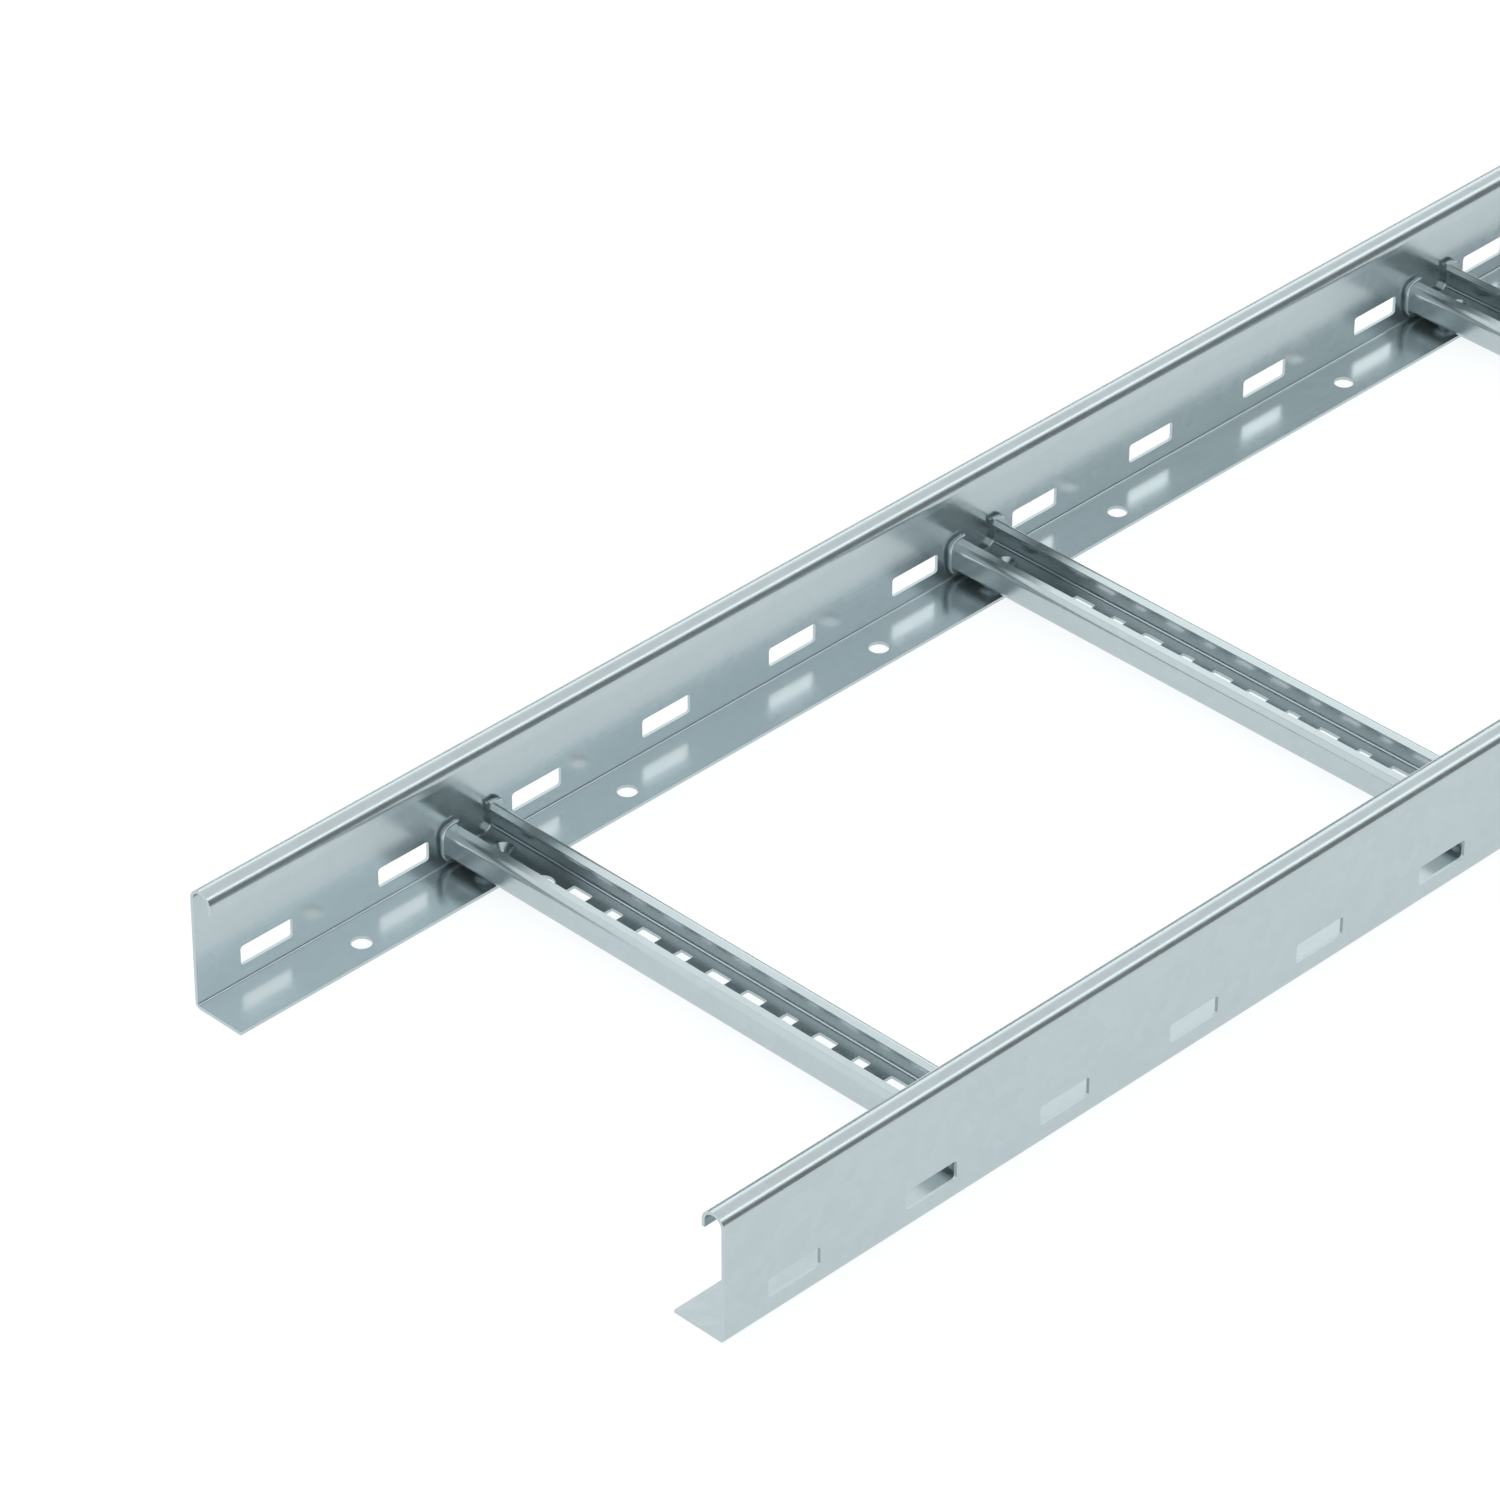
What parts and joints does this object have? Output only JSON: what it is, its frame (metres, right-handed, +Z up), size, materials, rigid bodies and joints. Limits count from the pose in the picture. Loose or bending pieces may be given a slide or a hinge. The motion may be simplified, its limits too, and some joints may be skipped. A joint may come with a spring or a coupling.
{
  "type": "cable ladder",
  "caption": "Galvanised steel cable ladder with perforated side rails and slotted C-profile rungs, for carrying cables along a wall or ceiling.",
  "frame": {"origin": "on the floor, under the middle of the ladder", "axes": "+X along the ladder, +Y across it towards the left rail, +Z up"},
  "size_m": [3, 0.3, 0.06],
  "materials": {
    "rail_steel": "galvanised, smooth, semi-gloss",
    "rung_steel": "galvanised, smooth, semi-gloss"
  },
  "bodies": {
    "root": {"side_rail_left": "rail_steel", "side_rail_right": "rail_steel", "rung_01": "rung_steel", "rung_02": "rung_steel", "rung_03": "rung_steel", "rung_04": "rung_steel", "rung_05": "rung_steel", "rung_06": "rung_steel", "rung_07": "rung_steel", "rung_08": "rung_steel", "rung_09": "rung_steel", "rung_10": "rung_steel"}
  },
  "joints": []
}
